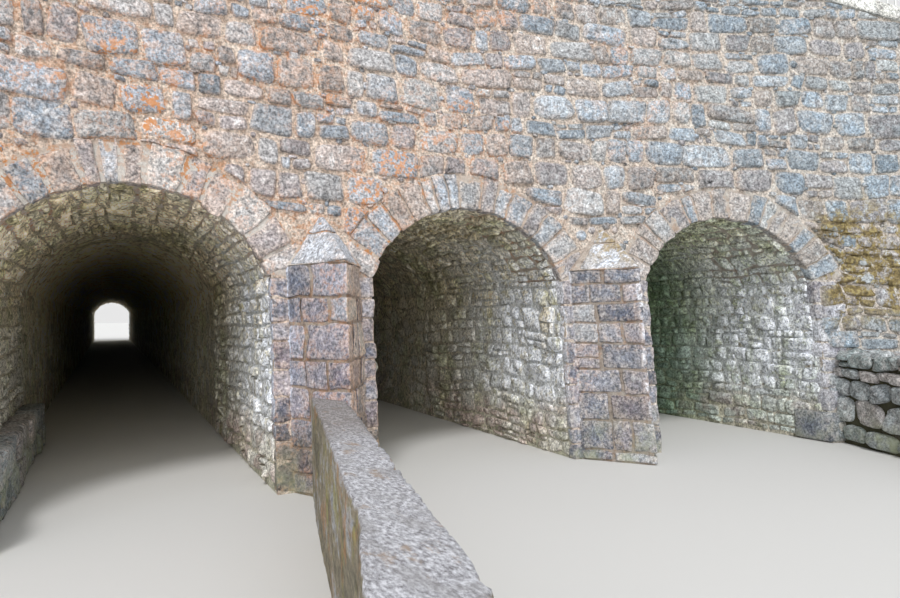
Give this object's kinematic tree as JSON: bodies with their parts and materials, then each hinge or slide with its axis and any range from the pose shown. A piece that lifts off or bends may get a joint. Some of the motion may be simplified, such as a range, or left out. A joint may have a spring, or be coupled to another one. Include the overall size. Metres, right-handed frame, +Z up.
{
  "type": "masonry canal aqueduct, 1:2 scale model",
  "caption": "Half-size model of a rubble masonry canal aqueduct: curved battered face walls, barrel-vaulted tunnels, cutwaters, sloping copings with railings and a stone canal trough.",
  "frame": {"origin": "centre of the base of the whole, at the level of the stream bed", "axes": "+X along the canal, to the right as seen from the front face; +Y along the tunnels, from the front face to the rear; +Z up"},
  "size_m": [11, 39.0116, 4.41],
  "materials": {
    "rubble_stone": "rough rubble in buff lime mortar, blue-grey and mauve, with orange lichen",
    "vault_stone": "rough rubble vault, damp and olive-brown",
    "arch_stone": "rough arch stones with wide pale joints",
    "block_stone": "squared blocks, mauve-grey, orange lichen at the edges",
    "cap_stone": "dressed stone, pale and weathered",
    "white_paint": "white paint, weathered",
    "puddled_clay": "puddled clay with gravel, damp",
    "bank_fill": "rolled earth and gravel",
    "old_concrete": "weathered concrete, mossy sides",
    "coping_stone": "pale dressed coping stones, moss in the joints",
    "dry_stone": "dry-laid boulders, mossy",
    "jamb_stone": "coursed rubble, lime stained and damp"
  },
  "bodies": {
    "root": {"canal_bed": "puddled_clay", "canal_copings": "coping_stone", "canal_foundation": "rubble_stone", "divider_coping": "old_concrete", "divider_wall": "old_concrete", "front_bank": "bank_fill", "front_canal_wall": "rubble_stone", "front_cutwater_caps": "cap_stone", "front_left_arch_ring": "arch_stone", "front_left_wing_wall": "rubble_stone", "front_level_coping": "coping_stone", "front_middle_arch_ring": "arch_stone", "front_railing": "white_paint", "front_right_arch_ring": "arch_stone", "front_right_wing_wall": "rubble_stone", "front_sloping_copings": "coping_stone", "front_spandrel_wall": "rubble_stone", "front_stream_cutwater": "block_stone", "front_track_cutwater": "block_stone", "left_abutment": "jamb_stone", "left_side_wall": "rubble_stone", "left_vault": "vault_stone", "middle_vault": "vault_stone", "rear_bank": "bank_fill", "rear_canal_wall": "rubble_stone", "rear_cutwater_caps": "cap_stone", "rear_left_arch_ring": "arch_stone", "rear_left_wing_wall": "rubble_stone", "rear_level_coping": "coping_stone", "rear_middle_arch_ring": "arch_stone", "rear_railing": "white_paint", "rear_right_arch_ring": "arch_stone", "rear_right_wing_wall": "rubble_stone", "rear_sloping_copings": "coping_stone", "rear_spandrel_wall": "rubble_stone", "rear_stream_cutwater": "block_stone", "rear_track_cutwater": "block_stone", "right_abutment": "jamb_stone", "right_side_wall": "rubble_stone", "right_vault": "vault_stone", "stream_pier": "jamb_stone", "track_kerb": "dry_stone", "track_pier": "jamb_stone", "training_wall": "dry_stone", "vault_backing": "rubble_stone"}
  },
  "joints": []
}
